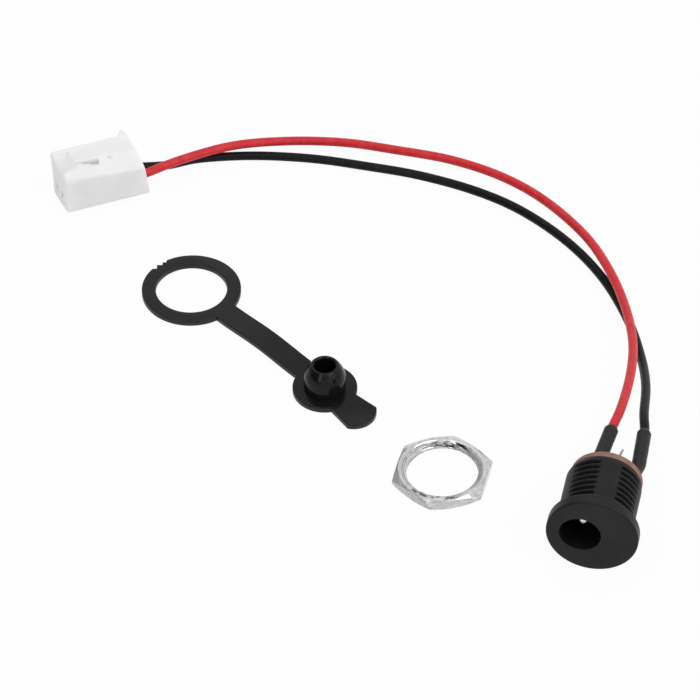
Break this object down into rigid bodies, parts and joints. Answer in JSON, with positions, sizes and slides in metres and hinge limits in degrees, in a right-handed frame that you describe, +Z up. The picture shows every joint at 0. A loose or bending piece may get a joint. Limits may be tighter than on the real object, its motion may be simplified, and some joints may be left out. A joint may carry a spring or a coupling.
{
  "type": "scooter charging port",
  "caption": "Panel-mount charging socket with a flanged, threaded body, red and black leads to a white lead connector, and a loose hexagon panel nut and rubber dust cap.",
  "frame": {"origin": "on the table, under the middle of the box round the socket, the nut and the dust cap", "axes": "+Z up from the table; the socket lies on its side with its mouth towards -Y; +X runs from the dust cap's ring to the socket"},
  "size_m": [0.1087, 0.0891, 0.014],
  "materials": {
    "socket_plastic": "black moulded plastic, satin",
    "brown_laminate": "brown paper laminate, matt",
    "nickel_plate": "bright nickel plate on brass",
    "tinned_brass": "bright tin plate on brass",
    "spring_brass": "bare spring brass",
    "solder": "smooth solder",
    "heat_shrink": "black shrunk sleeve, satin",
    "red_insulation": "red wire insulation, satin",
    "black_insulation": "black wire insulation, satin",
    "white_nylon": "natural white nylon, satin",
    "nut_nickel": "bright nickel plate",
    "cap_rubber": "black rubber, satin"
  },
  "bodies": {
    "root": {"jack_body": "socket_plastic", "back_plate": "brown_laminate", "centre_pin": "nickel_plate", "pin_lug": "tinned_brass", "sleeve_spring": "spring_brass", "switch_contact": "tinned_brass", "red_solder_joint": "solder", "black_solder_joint": "solder", "red_heat_shrink": "heat_shrink", "black_heat_shrink": "heat_shrink", "red_wire": "red_insulation", "black_wire": "black_insulation", "connector_housing": "white_nylon", "positive_terminal": "tinned_brass", "negative_terminal": "tinned_brass", "panel_nut": "nut_nickel", "dust_cap": "cap_rubber"}
  },
  "joints": []
}
